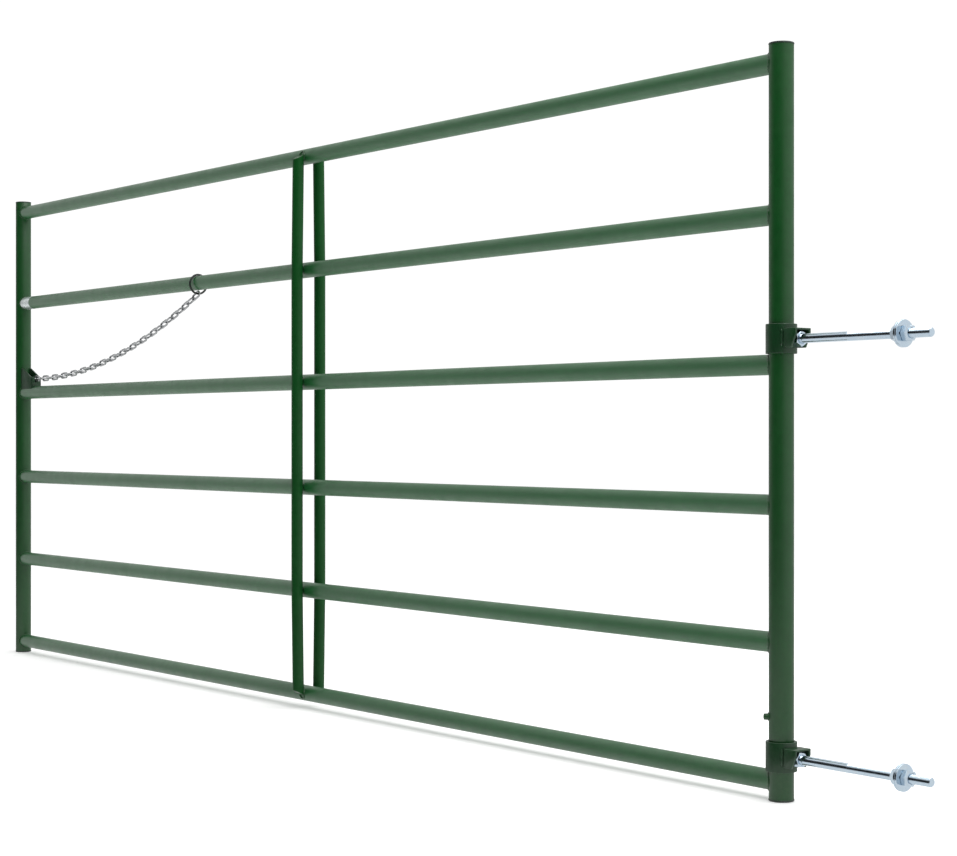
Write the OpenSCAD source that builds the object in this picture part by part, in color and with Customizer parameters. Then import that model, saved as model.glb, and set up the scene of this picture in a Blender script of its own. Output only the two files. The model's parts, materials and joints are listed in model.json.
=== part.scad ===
// Tubular livestock panel gate: six round rails between two round uprights, with a pair
// of braces at mid length, two bolt-on hinges and a latch chain. Millimetres, +Z up.
// The origin is the hinge upright's axis at its foot. The leaf runs towards -X, the hinge
// bolts point towards +X, and the side that the braces' front tube is on is -Y.

/* [Leaf] */
// Height of the leaf, over the end caps
leaf_h = 1270; // [1120:5:1600]
// Distance between the axes of the two uprights
upright_span = 2905; // [2300:5:3600]
// Outer diameter of the uprights
upright_d = 42.2; // [34:0.1:52]
// Wall of the uprights
upright_wall = 1.9; // [1.2:0.1:3]
// Outer diameter of the rails
rail_d = 34.9; // [28:0.1:41]
// Wall of the rails
rail_wall = 1.4; // [1:0.1:2.5]
// Outer diameter of the braces
brace_d = 25.4; // [20:0.1:32]
// Wall of the braces
brace_wall = 1.4; // [1:0.1:2.5]
// Thickness of the end caps' flanges
cap_t = 3; // [1.5:0.5:5]

/* [Rail heights] */
// Distance from the end of the leaf to the axis of its outermost rail
end_margin = 32; // [24:1:45]
// Bay between the bottom rail and the fifth rail, axis to axis
bay_5 = 232; // [180:1:260]
// Bay between the fifth and fourth rails
bay_4 = 231; // [180:1:260]
// Bay between the fourth and third rails
bay_3 = 236; // [180:1:260]
// Bay between the third and second rails
bay_2 = 252; // [210:1:265]

/* [Hinges] */
// Height of a hinge sleeve
sleeve_h = 50; // [45:1:70]
// Wall of a hinge sleeve
sleeve_wall = 4.8; // [3:0.1:6]
// Diameter of the hinge bolts' plain shank
bolt_d = 15.88; // [12:0.01:19]
// Length of a hinge bolt from the face of its boss
bolt_l = 284; // [250:1:400]
// Length of the plain shank
shank_l = 100; // [60:1:140]
// Width across flats of the nuts
nut_af = 23.8; // [19:0.1:29]
// Thickness of the nuts
nut_t = 14; // [8:0.5:16]
// Outer diameter of the washers
washer_d = 44.5; // [36:0.5:56]
// Thickness of the washers
washer_t = 3.4; // [2:0.1:4]
// Distance from the boss's face to the inner washer's outer face
clamp_x = 227; // [180:1:240]

/* [Latch chain] */
// Wire diameter of the chain links
link_wire = 5; // [4:0.1:6]
// Length of the opening in a link
link_inner_l = 28.6; // [24:0.1:34]
// Width of the opening in a link
link_inner_w = 7; // [6.5:0.1:9]
// Pairs of links in the chain
link_pairs = 17; // [12:1:20]
// Wire diameter of the ring that carries the chain
ring_wire = 5; // [4:0.1:6]
// Height of the chain's lowest point over the third rail
chain_over_rail = 20.5; // [18:0.5:30]
// Distance of the chain's lowest point from the latch upright's axis
chain_low_reach = 110; // [95:1:150]

/* [Hidden] */
$fn = 64;

// Clearances
seat_gap = 0.3;    // between pieces that rest on each other but move
weld_gap = 0.05;   // between tubes that are welded edge to face
sleeve_play = 0.5; // round the upright inside a sleeve
thread_play = 0.1; // round the bolts inside nuts and bosses
slot_play = 1;     // each side of a chain link in its keeper

// Radii
upright_r = upright_d / 2;
rail_r = rail_d / 2;
brace_r = brace_d / 2;
bolt_r = bolt_d / 2;
thread_r = bolt_r - 0.19;

// Rails, bottom to top
z_bottom = end_margin;
z_fifth = z_bottom + bay_5;
z_fourth = z_fifth + bay_4;
z_third = z_fourth + bay_3;
z_second = z_third + bay_2;
z_top = leaf_h - end_margin;
latch_x = -upright_span;

// Braces: straight past the four inner rails, drawn in to the outer rails at both ends
brace_x = latch_x / 2 + 12;
brace_bow_y = rail_r + brace_r + 0.15;
brace_draw_in = 3.3;    // from the inner rails to the outer ones
brace_bulge = 0.3;      // at a bend
bend_half = 1; // half the length of tube that the ball at a bend replaces
brace_over = 6;        // past the outer rails' axes
brace_end_drop = 14;   // slant of the closed ends

// Hinge sleeves: each one rests on a rail
sleeve_bore_r = upright_r + sleeve_play;
sleeve_r = sleeve_bore_r + sleeve_wall;
upper_sleeve_z = z_third + rail_r + seat_gap;
lower_sleeve_z = z_bottom + rail_r + seat_gap;
nut_r = nut_af / 2 / cos(30);
ear_in = nut_r + 0.8;
ear_out = ear_in + 4.5;
ear_top_t = 3.2;
bolt_in_sleeve = sleeve_h / 2 - 1;
boss_x = sleeve_r + 6.6;
ear_x = boss_x + nut_t + 2;
stud_root = 2.2;       // sleeve wall left behind the bolt's root
stop_d = 11;
stop_out = 9;
stop_lift = 35;        // from the lower sleeve to the lift stop
stop_z = lower_sleeve_z + sleeve_h + stop_lift + stop_d / 2;

// Pieces along a hinge bolt
washer_bore_r = bolt_r + 0.8;
stack_gap = 0.2;
inner_washer_x = boss_x + clamp_x - washer_t;
inner_nut_x = inner_washer_x - stack_gap - nut_t;
outer_washer_x = boss_x + clamp_x + stack_gap;
outer_nut_x = outer_washer_x + washer_t + stack_gap;

// Ring and chain. The chain hangs in a catenary whose lowest point is close to its keeper.
link_gap = 0.3;
link_outer_w = link_inner_w + 2 * link_wire;
link_pitch = link_inner_l - link_gap;
link_count = 2 * link_pairs;
pivot_to_link = link_inner_l / 2 - link_wire / 2 - link_gap;
ring_play = (link_outer_w / 2 - ring_wire / 2 + 0.5) / 2;
ring_r = rail_r + ring_play + ring_wire / 2;
ring_z = z_second + rail_r + seat_gap - (ring_r - ring_wire / 2);
chain_low_x = latch_x + chain_low_reach;
chain_low_z = z_third + rail_r + chain_over_rail;
tail_past_low = 53;
chain_arc = pivot_to_link + (link_count - 1) * link_pitch - tail_past_low;
chain_rise = ring_z - ring_r - chain_low_z;
cat_a = (chain_arc * chain_arc - chain_rise * chain_rise) / (2 * chain_rise);
function asinh(t) = ln(t + sqrt(t * t + 1));
function chain_x(s) = chain_low_x + cat_a * asinh(s / cat_a);
function chain_z(s) = chain_low_z - cat_a + sqrt(cat_a * cat_a + s * s);
function link_s(k) = chain_arc - pivot_to_link - (k - 1) * link_pitch;
ring_x = chain_x(chain_arc);

// Chain keeper: a pocket on the third rail, with a slot that one upright link drops into
keeper_plate_t = 4;
keeper_side_t = 3.5;
keeper_side_y = link_outer_w / 2 + 2.5;
keeper_plate_x = chain_x(link_s(link_count)) + link_inner_l / 2 + link_wire + 1.2;
keeper_slot_z = chain_low_z - link_outer_w / 2 - link_gap;
keeper_top_z = chain_low_z + 5;
keeper_back_rise = 26;

// Foil wrap on the latch end of the second rail
wrap_t = 0.4;
wrap_l = 69;

PAIR_NODES = [for (i = [1 : link_pairs]) str("chain_links_", i < 10 ? "0" : "", i)];

GREEN = [0.09, 0.25, 0.13];
DARK_GREEN = [0.05, 0.15, 0.08];
BLACK_GREEN = [0.03, 0.07, 0.05];
ZINC = [0.72, 0.76, 0.8];
STEEL = [0.35, 0.37, 0.38];
FOIL = [0.8, 0.82, 0.82];

// ---- shared shapes ----

// A cylinder along +X that starts at x
module rod_x(x, length, r) {
    translate([x, 0, 0]) rotate([0, 90, 0]) cylinder(h = length, r = r);
}

// The solid space of an upright, for coping what meets it
module upright_space(x, gap) {
    translate([x, 0, -1]) cylinder(h = leaf_h + 2, r = upright_r + gap);
}

module upright(x) {
    translate([x, 0, cap_t]) difference() {
        cylinder(h = leaf_h - 2 * cap_t, r = upright_r);
        translate([0, 0, -1])
            cylinder(h = leaf_h, r = upright_r - upright_wall);
    }
}

// A rail is coped to both uprights
module rail(z) {
    difference() {
        translate([0, 0, z]) rod_x(latch_x, upright_span, rail_r);
        translate([0, 0, z]) rod_x(latch_x - 1, upright_span + 2, rail_r - rail_wall);
        upright_space(0, weld_gap);
        upright_space(latch_x, weld_gap);
    }
}

// The drawn-in end of a brace on the +Y side, or of its bore, above a bend at z = 0
module brace_end(length, r, inset) {
    rotate([atan2(brace_draw_in, length), 0, 0]) difference() {
        translate([0, 0, bend_half]) cylinder(h = length + brace_end_drop, r = r);
        translate([0, 0, length - brace_end_drop / 2 - inset])
            rotate([-atan2(brace_end_drop, brace_d), 0, 0])
                translate([-brace_d, -2 * brace_d, 0])
                    cube([2 * brace_d, 4 * brace_d, 2 * brace_d]);
    }
    sphere(r = r + brace_bulge);
}

// A brace's body on the +Y side, or its bore, bent where it leaves the inner rails
module brace_body(r, inset) {
    translate([0, brace_bow_y, z_fifth + bend_half])
        cylinder(h = z_second - z_fifth - 2 * bend_half, r = r);
    translate([0, brace_bow_y, z_second])
        brace_end(z_top + brace_over - z_second, r, inset);
    translate([0, brace_bow_y, z_fifth]) mirror([0, 0, 1])
        brace_end(z_fifth - z_bottom + brace_over, r, inset);
}

module brace(side) {
    mirror([0, side < 0 ? 1 : 0, 0]) translate([brace_x, 0, 0]) difference() {
        brace_body(brace_r, 0);
        brace_body(brace_r - brace_wall, brace_wall);
        for (z = [z_top, z_bottom])
            translate([0, 0, z]) rod_x(-brace_d, 2 * brace_d, rail_r + weld_gap);
    }
}

// A cap: a plug in the tube and a flange over its end. It points down at z
module end_cap(x, z, up) {
    translate([x, 0, z]) mirror([0, 0, up ? 1 : 0]) rotate_extrude() polygon([
        [0, 0], [upright_r - 0.6, 0], [upright_r + 0.6, 1], [upright_r + 0.6, cap_t - weld_gap],
        [upright_r - upright_wall - 0.1, cap_t - weld_gap],
        [upright_r - upright_wall - 0.1, cap_t + 13], [upright_r - upright_wall - 1.1, cap_t + 14],
        [upright_r - upright_wall - 3, cap_t + 14], [upright_r - upright_wall - 3, cap_t],
        [0, cap_t]]);
}

// A hexagon nut along +X that starts at x, chamfered at both ends
module nut(x, z, turn) {
    translate([x, 0, z]) rotate([0, 90, 0]) difference() {
        intersection() {
            rotate([0, 0, turn]) cylinder(h = nut_t, r = nut_r, $fn = 6);
            rotate_extrude() polygon([
                [0, 0], [nut_af / 2, 0], [nut_r + 0.4, 1.2], [nut_r + 0.4, nut_t - 1.2],
                [nut_af / 2, nut_t], [0, nut_t]]);
        }
        translate([0, 0, -1]) cylinder(h = nut_t + 2, r = thread_r + thread_play);
    }
}

module washer(x, z) {
    translate([x, 0, z]) rotate([0, 90, 0]) difference() {
        cylinder(h = washer_t, r = washer_d / 2);
        translate([0, 0, -1]) cylinder(h = washer_t + 2, r = washer_bore_r);
    }
}

// A sleeve round the upright, with a boss for the bolt between two ears under a top plate
module hinge_sleeve(z0) {
    axis_z = z0 + bolt_in_sleeve;
    difference() {
        union() {
            translate([0, 0, z0]) rotate_extrude() polygon([
                [sleeve_bore_r - 2, 0], [sleeve_r - 1, 0], [sleeve_r, 1],
                [sleeve_r, sleeve_h - 1], [sleeve_r - 1, sleeve_h], [sleeve_bore_r - 2, sleeve_h]]);
            translate([0, -ear_out, axis_z - ear_in])
                cube([ear_x, 2 * ear_out, 2 * ear_in + ear_top_t]);
        }
        translate([0, 0, z0 - 1]) cylinder(h = sleeve_h + 2, r = sleeve_bore_r);
        translate([boss_x, -ear_in, axis_z - ear_in - 1])
            cube([ear_x, 2 * ear_in, 2 * ear_in + 1]);
        translate([ear_x, -ear_out - 1, axis_z + ear_in / 2])
            rotate([0, 115, 0]) cube([3 * ear_in, 2 * ear_out + 2, 2 * ear_in]);
        translate([0, 0, axis_z])
            rod_x(sleeve_bore_r + stud_root, boss_x, thread_r + thread_play);
    }
}

// A bolt with thread at its root, a plain shank and thread to its free end
module hinge_bolt(z) {
    root = sleeve_bore_r + stud_root + 0.2;
    shank = boss_x + nut_t + 3;
    end = boss_x + bolt_l;
    translate([0, 0, z]) rotate([0, 90, 0]) rotate_extrude() polygon([
        [0, root], [thread_r, root], [thread_r, shank], [bolt_r, shank],
        [bolt_r, shank + shank_l], [thread_r, shank + shank_l],
        [thread_r, end - 1.6], [thread_r - 1.6, end], [0, end]]);
}

// A chain link in the XZ plane, its length along X
module link() {
    straight = link_inner_l / 2 - link_inner_w / 2;
    bend_r = (link_inner_w + link_wire) / 2;
    rotate([90, 0, 0]) for (side = [0, 1]) rotate([0, 0, 180 * side]) {
        translate([straight, 0, 0]) rotate([0, 0, -90])
            rotate_extrude(angle = 180) translate([bend_r, 0]) circle(r = link_wire / 2);
        translate([0, bend_r, 0]) rod_x(-straight, 2 * straight, link_wire / 2);
    }
}

// Link k, counted from the ring. Odd links stand upright and even ones lie flat
module link_at(k) {
    s = link_s(k);
    translate([chain_x(s), 0, chain_z(s)])
        rotate([0, -atan(s / cat_a), 0])
            rotate([k % 2 == 0 ? 90 : 0, 0, 0])
                link();
}

// ---- sub-parts ----

module hinge_upright() { color(GREEN) upright(0); }
module latch_upright() { color(GREEN) upright(latch_x); }
module top_rail() { color(GREEN) rail(z_top); }
module second_rail() { color(GREEN) rail(z_second); }
module third_rail() { color(GREEN) rail(z_third); }
module fourth_rail() { color(GREEN) rail(z_fourth); }
module fifth_rail() { color(GREEN) rail(z_fifth); }
module bottom_rail() { color(GREEN) rail(z_bottom); }
module front_brace() { color(GREEN) brace(-1); }
module back_brace() { color(GREEN) brace(1); }
module hinge_upright_top_cap() { color(BLACK_GREEN) end_cap(0, leaf_h, true); }
module hinge_upright_foot_cap() { color(BLACK_GREEN) end_cap(0, 0, false); }
module latch_upright_top_cap() { color(BLACK_GREEN) end_cap(latch_x, leaf_h, true); }
module latch_upright_foot_cap() { color(BLACK_GREEN) end_cap(latch_x, 0, false); }

// A short stud welded to the hinge upright, which stops the lower sleeve
module lift_stop() {
    color(DARK_GREEN) difference() {
        translate([0, 0, stop_z]) rotate([0, 0, 225])
            rod_x(upright_r / 2, upright_r / 2 + stop_out, stop_d / 2);
        upright_space(0, weld_gap);
    }
}

module chain_keeper() {
    reach = keeper_plate_x + keeper_plate_t - latch_x;
    foot_z = z_third;
    back_z = keeper_top_z + keeper_back_rise;
    color(DARK_GREEN) difference() {
        union() {
            for (side = [0, 1]) mirror([0, side, 0])
                translate([latch_x, keeper_side_y + keeper_side_t, 0]) rotate([90, 0, 0])
                    linear_extrude(height = keeper_side_t) polygon([
                        [0, foot_z], [reach, foot_z], [reach, keeper_top_z],
                        [reach - keeper_plate_t, keeper_top_z], [upright_r, back_z], [0, back_z]]);
            translate([keeper_plate_x, -keeper_side_y - 0.1, foot_z])
                cube([keeper_plate_t, 2 * keeper_side_y + 0.2, keeper_top_z - foot_z]);
        }
        translate([keeper_plate_x - 1, -link_wire / 2 - slot_play, keeper_slot_z])
            cube([keeper_plate_t + 2, link_wire + 2 * slot_play, keeper_top_z]);
        translate([0, 0, z_third]) rod_x(latch_x - 1, reach + 2, rail_r + weld_gap);
        translate([latch_x - 50, -50, 0]) cube([reach + 100, 100, z_third]);
        upright_space(latch_x, weld_gap);
    }
}

module rail_wrap() {
    color(FOIL) difference() {
        translate([0, 0, z_second]) rod_x(latch_x, wrap_l, rail_r + weld_gap + wrap_t);
        translate([0, 0, z_second]) rod_x(latch_x - 1, wrap_l + 2, rail_r + weld_gap);
        upright_space(latch_x, 2 * weld_gap);
    }
}

module chain_ring() {
    color(DARK_GREEN) translate([ring_x, 0, ring_z]) rotate([0, 90, 0])
        rotate_extrude() translate([ring_r, 0]) circle(r = ring_wire / 2);
}

module upper_hinge_sleeve() { color(DARK_GREEN) hinge_sleeve(upper_sleeve_z); }
module lower_hinge_sleeve() { color(DARK_GREEN) hinge_sleeve(lower_sleeve_z); }
module upper_hinge_bolt() { color(ZINC) hinge_bolt(upper_sleeve_z + bolt_in_sleeve); }
module lower_hinge_bolt() { color(ZINC) hinge_bolt(lower_sleeve_z + bolt_in_sleeve); }
module upper_lock_nut() { color(ZINC) nut(boss_x + stack_gap, upper_sleeve_z + bolt_in_sleeve, 0); }
module lower_lock_nut() { color(ZINC) nut(boss_x + stack_gap, lower_sleeve_z + bolt_in_sleeve, 22); }
module upper_inner_nut() { color(ZINC) nut(inner_nut_x, upper_sleeve_z + bolt_in_sleeve, 12); }
module lower_inner_nut() { color(ZINC) nut(inner_nut_x, lower_sleeve_z + bolt_in_sleeve, 25); }
module upper_outer_nut() { color(ZINC) nut(outer_nut_x, upper_sleeve_z + bolt_in_sleeve, 30); }
module lower_outer_nut() { color(ZINC) nut(outer_nut_x, lower_sleeve_z + bolt_in_sleeve, 18); }
module upper_inner_washer() { color(ZINC) washer(inner_washer_x, upper_sleeve_z + bolt_in_sleeve); }
module lower_inner_washer() { color(ZINC) washer(inner_washer_x, lower_sleeve_z + bolt_in_sleeve); }
module upper_outer_washer() { color(ZINC) washer(outer_washer_x, upper_sleeve_z + bolt_in_sleeve); }
module lower_outer_washer() { color(ZINC) washer(outer_washer_x, lower_sleeve_z + bolt_in_sleeve); }

// Two neighbouring links of the chain
module chain_links(pair) {
    color(STEEL) for (k = [2 * pair - 1, 2 * pair]) link_at(k);
}

hinge_upright();
latch_upright();
top_rail();
second_rail();
third_rail();
fourth_rail();
fifth_rail();
bottom_rail();
front_brace();
back_brace();
hinge_upright_top_cap();
hinge_upright_foot_cap();
latch_upright_top_cap();
latch_upright_foot_cap();
lift_stop();
chain_keeper();
rail_wrap();
chain_ring();
upper_hinge_sleeve();
lower_hinge_sleeve();
upper_hinge_bolt();
lower_hinge_bolt();
upper_lock_nut();
lower_lock_nut();
upper_inner_nut();
lower_inner_nut();
upper_outer_nut();
lower_outer_nut();
upper_inner_washer();
lower_inner_washer();
upper_outer_washer();
lower_outer_washer();
for (pair = [1 : link_pairs])
    chain_links(pair);
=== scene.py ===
"""The livestock panel gate with its finishes, studio and camera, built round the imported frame."""

import functools
import json
import math

import bmesh
import bpy
from bpy.props import FloatProperty, FloatVectorProperty, IntProperty, PointerProperty
from bpy.types import Operator, Panel, PropertyGroup
from mathutils import Matrix, Vector, noise


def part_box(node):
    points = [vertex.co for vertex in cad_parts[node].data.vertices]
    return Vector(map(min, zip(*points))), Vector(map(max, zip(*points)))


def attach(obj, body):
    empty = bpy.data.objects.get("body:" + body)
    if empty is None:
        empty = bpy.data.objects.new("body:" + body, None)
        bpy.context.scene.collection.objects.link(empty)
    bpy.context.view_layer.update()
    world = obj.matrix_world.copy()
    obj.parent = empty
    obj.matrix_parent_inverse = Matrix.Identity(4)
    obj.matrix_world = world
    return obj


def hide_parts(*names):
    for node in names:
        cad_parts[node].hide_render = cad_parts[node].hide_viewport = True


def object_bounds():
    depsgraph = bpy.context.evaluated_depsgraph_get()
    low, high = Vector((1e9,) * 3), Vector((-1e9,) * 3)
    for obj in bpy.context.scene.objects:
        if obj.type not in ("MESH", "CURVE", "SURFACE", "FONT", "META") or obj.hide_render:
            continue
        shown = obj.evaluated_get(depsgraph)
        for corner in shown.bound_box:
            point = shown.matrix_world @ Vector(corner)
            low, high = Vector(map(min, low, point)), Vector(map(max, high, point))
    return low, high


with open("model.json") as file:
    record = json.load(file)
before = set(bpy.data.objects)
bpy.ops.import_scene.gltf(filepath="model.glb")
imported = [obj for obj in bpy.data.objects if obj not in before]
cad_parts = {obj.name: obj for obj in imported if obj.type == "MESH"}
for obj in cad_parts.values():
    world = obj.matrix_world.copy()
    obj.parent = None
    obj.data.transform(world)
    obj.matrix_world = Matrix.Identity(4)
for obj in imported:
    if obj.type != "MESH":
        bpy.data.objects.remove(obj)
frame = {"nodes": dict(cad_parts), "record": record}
cad_bounds = [list(corner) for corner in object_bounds()]

bl_info = {
    "name": "Panel gate maker",
    "version": (1, 0, 0),
    "blender": (4, 5, 0),
    "location": "3D View > Sidebar > Gate",
    "description": "Builds a tubular livestock gate with its hinges, latch chain and studio",
    "category": "Object",
}

MM = 0.001
TURN = 2 * math.pi
Z_TO_X = Matrix.Rotation(math.pi / 2, 4, "Y")

RAILS = ("top_rail", "second_rail", "third_rail", "fourth_rail", "fifth_rail", "bottom_rail")
HINGES = ("upper", "lower")

MOTTLE_FINENESS = 23.0       # mottle to patches, as a ratio of scales
RIPPLE_COARSENESS = 0.12     # wide waves to fine ones, as a ratio of scales

CAP_FLANGE = 3 * MM
CAP_LIP = 4.5 * MM           # width of the flange round the dish
CAP_DISH_DEPTH = 0.7 * MM
CAP_PLUG_DEPTH = 14 * MM
CAP_PLUG_INSET = 2.1 * MM    # from the tube's outside to the plug

BRACE_STANDOFF = 0.15 * MM   # between a brace and an inner rail
BRACE_END_REACH = 46 * MM    # length of a brace that its slanted end bends
BRACE_END_RINGS = 16
SADDLE_BITE = 0.3 * MM       # how far a brace sinks into an outer rail

CHANNEL_BITE = 0.5 * MM      # how far a sleeve's channel starts inside its band
EAR_TOP = 3.2 * MM           # thickness of the plate over a hinge bolt
NUT_HALF_FLAT = 11.9 * MM
CREST_GAP = 0.1 * MM         # from a bolt's shank to the crest of its thread
FLOOR_GAP = 0.5 * MM         # from the gate's lowest point down to the floor
SKY_WHITE = 1.05             # what the camera sees behind the gate
GAP_SOFT_SIDES = math.radians(12)
GAP_SOFT_ENDS = math.radians(5)


# ---- places and sizes read from the frame ----

@functools.cache
def box(node):
    """Lowest and highest corner of a CAD node."""
    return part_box(node)


def middle(node):
    """Middle of a CAD node's box."""
    low, high = box(node)
    return (low + high) / 2


def extent(node):
    """Size of a CAD node's box."""
    low, high = box(node)
    return high - low


UPRIGHT_R = extent("hinge_upright").x / 2
RAIL_R = extent("top_rail").z / 2
HINGE_X = middle("hinge_upright").x
LATCH_X = middle("latch_upright").x


# ---- settings ----

def in_mm(name, description, millimetres):
    """A length, given in millimetres and kept in metres."""
    return FloatProperty(name=name, description=description, default=millimetres * MM,
                         unit="LENGTH", precision=5)


def in_degrees(name, description, degrees):
    """An angle, given in degrees and kept in radians."""
    return FloatProperty(name=name, description=description, default=math.radians(degrees),
                         subtype="ANGLE")


def zero_to_one(name, description, default):
    return FloatProperty(name=name, description=description, default=default, min=0, max=1)


def tint(name, description, default):
    return FloatVectorProperty(name=name, description=description, default=default,
                               subtype="COLOR", min=0, max=1)


class TubeSettings(PropertyGroup):
    """Sizes of the tubes, caps and welds"""
    upright_wall: in_mm("Upright wall", "Wall of the two uprights", 1.9)
    rail_wall: in_mm("Rail wall", "Wall of the rails and braces", 1.4)
    sides: IntProperty(
        name="Sides", description="Facets round a tube", default=64, min=24, max=96)
    brace_radius: in_mm("Brace radius", "Outer radius of the braces", 12.7)
    brace_draw_in: in_mm(
        "Brace draw-in", "How far a brace's ends are drawn in to the outer rails", 3.3)
    brace_end_drop: in_mm("Brace end drop", "Slant of a brace's closed ends", 14)
    weld_radius: in_mm("Weld bead", "Half the width of a weld bead", 2.7)


class HardwareSettings(PropertyGroup):
    """Sizes of the hinge bolts, nuts, washers and sleeves"""
    thread_pitch: in_mm("Thread pitch", "Pitch of the bolts' thread", 2.31)
    thread_depth: in_mm("Thread depth", "Depth of the bolts' thread", 0.75)
    thread_sides: IntProperty(
        name="Thread sides", description="Facets round a thread", default=28, min=12, max=48)
    shank_length: in_mm("Shank", "Length of a bolt's plain shank", 100)
    sleeve_wall: in_mm("Sleeve wall", "Wall of a hinge sleeve", 4.8)
    ear_wall: in_mm("Ear wall", "Thickness of a sleeve's ears", 4.5)
    ear_slope: in_degrees("Ear slope", "Lean of the ears' front edges", 25)


class ChainSettings(PropertyGroup):
    """Shape of the latch chain and its keeper"""
    link_sides: IntProperty(
        name="Wire sides", description="Facets round a link's wire", default=10, min=6, max=16)
    link_steps: IntProperty(
        name="Bend steps", description="Steps round each end of a link", default=9, min=4, max=16)
    weld_swell: FloatProperty(
        name="Weld swell", description="How much thicker a link is at its weld", default=1.13)
    plate: in_mm("Keeper plate", "Thickness of the keeper's slotted plate", 4)
    gusset: in_mm("Keeper gusset", "Thickness of the keeper's gussets", 3.5)
    slot_width: in_mm("Keeper slot", "Width of the keeper's slot", 7)
    back_rise: in_mm("Gusset rise", "Height of the gussets' backs over the slotted plate", 26)
    slot_depth: in_mm("Slot depth", "Depth of the keeper's slot", 13.8)


class FinishSettings(PropertyGroup):
    """Colours and gloss of the finishes"""
    paint: tint("Powder coat", "Colour of the gate's powder coat", (0.0040, 0.053, 0.0095))
    paint_roughness: zero_to_one("Powder coat roughness", "0 is a mirror", 0.36)
    paint_grain: zero_to_one("Powder coat grain", "How far gloss is spread round a tube", 0.9)
    # Painted reflection: the rails' green is lighter than the uprights' to stand in for the light
    # that washes them pale; the real paint is the same.
    rail_paint_with_painted_reflection: tint("Rail coat", "Colour of the rails, painted lighter than the uprights to stand in for their reflection", (0.013, 0.092, 0.026))
    rail_roughness: zero_to_one("Rail coat roughness", "0 is a mirror", 0.42)
    rail_gloss: zero_to_one("Rail coat gloss", "Specular level of the coat on the rails", 1.0)
    brace_gloss: zero_to_one("Brace coat gloss", "Specular level of the coat on the braces", 0.18)
    ring_paint: tint(
        "Ring paint", "Colour of the dark paint on the chain's ring", (0.0022, 0.0075, 0.0045))
    hinge_paint: tint(
        "Hinge paint", "Colour of the sleeves and the keeper", (0.0035, 0.034, 0.009))
    cap: tint("Caps", "Colour of the plastic end caps", (0.010, 0.024, 0.016))
    zinc: tint("Zinc plate", "Colour of the bolts, nuts and washers", (0.51, 0.61, 0.70))
    chain: tint("Chain steel", "Colour of the chain", (0.42, 0.43, 0.44))
    foil: tint("Foil", "Colour of the foil wrap", (0.80, 0.86, 0.86))


class StudioSettings(PropertyGroup):
    """Camera, floor and light"""
    camera_place: FloatVectorProperty(
        name="Camera", description="Where the camera stands",
        default=(2.3024, -2.4541, 0.614), subtype="TRANSLATION", unit="LENGTH")
    camera_heading: FloatVectorProperty(
        name="Heading", description="The way that the camera looks",
        default=(-0.7864, 0.6177, 0.0), subtype="DIRECTION")
    lens: FloatProperty(
        name="Lens", description="Focal length on a 36 mm sensor, in millimetres", default=74.65)
    rise: FloatProperty(
        name="Rise", description="Vertical shift of the lens", default=0.0065, precision=4)
    floor_size: FloatProperty(
        name="Floor", description="Side of the floor", default=60, unit="LENGTH")
    floor_color: tint("Floor colour", "Colour of the floor", (0.92, 0.92, 0.92))
    floor_glow: zero_to_one("Floor glow", "Light that the floor adds to its own white", 0.2)
    surround: FloatProperty(
        name="Surround", description="Brightness of the white surroundings", default=1.0)
    gap_brightness: FloatProperty(
        name="Gap", description="Brightness of the unlit gap in the surroundings", default=0.02)
    gap_heading: in_degrees("Gap heading", "Bearing of the unlit gap in the surroundings", -87.5)
    gap_width: in_degrees("Gap width", "Half the angle of the unlit gap along the horizon", 62.5)
    gap_level: in_degrees("Gap level", "Height of the unlit gap's middle over the horizon", 9)
    gap_height: in_degrees("Gap height", "Half the angle of the unlit gap from low to high", 24)
    key_power: FloatProperty(
        name="Key light", description="Power of the overhead light", default=90, unit="POWER")
    key_size: FloatVectorProperty(
        name="Key size", description="Length and width of the overhead light",
        default=(3.5, 2.0), size=2, unit="LENGTH")
    key_place: FloatVectorProperty(
        name="Key place", description="Where the overhead light hangs",
        default=(0.5, 0.4, 3.4), subtype="TRANSLATION", unit="LENGTH")
    key_aim: FloatVectorProperty(
        name="Key aim", description="The point that the overhead light faces",
        default=(-1.2, 0.0, 0.6), subtype="TRANSLATION", unit="LENGTH")


# ---- shader node groups ----

def group(name, inputs, output, kind):
    """A new shader node group with one output, and the sockets that it is given and gives."""
    tree = bpy.data.node_groups.new(name, "ShaderNodeTree")
    for label, value in inputs.items():
        plain = "NodeSocketFloat" if isinstance(value, float) else "NodeSocketColor"
        tree.interface.new_socket(label, in_out="INPUT", socket_type=plain).default_value = value
    tree.interface.new_socket(output, in_out="OUTPUT", socket_type=kind)
    return tree, tree.nodes.new("NodeGroupInput").outputs, tree.nodes.new("NodeGroupOutput").inputs


def add(tree, kind, settings=(), **inputs):
    """A node with its settings, and its inputs given as values or as sockets to link."""
    node = tree.nodes.new(kind)
    for key, value in dict(settings).items():
        setattr(node, key, value)
    for key, value in inputs.items():
        socket = node.inputs[int(key[1:]) if key[1:].isdigit() else key.replace("_", " ")]
        if isinstance(value, bpy.types.NodeSocket):
            tree.links.new(value, socket)
        else:
            socket.default_value = value
    return node


def calculate(tree, operation, *values, clamp=False):
    """Result of a Math node on values or sockets."""
    node = add(tree, "ShaderNodeMath", {"operation": operation, "use_clamp": clamp},
               **{f"_{i}": value for i, value in enumerate(values)})
    return node.outputs[0]


def ramp(tree, value, start, stop, first, last, smooth=False):
    """Carries a value from one range to another, along a line or an S curve."""
    curve = {"interpolation_type": "SMOOTHSTEP" if smooth else "LINEAR"}
    node = add(tree, "ShaderNodeMapRange", curve, Value=value, From_Min=start, From_Max=stop,
               To_Min=first, To_Max=last)
    return node.outputs[0]


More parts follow.
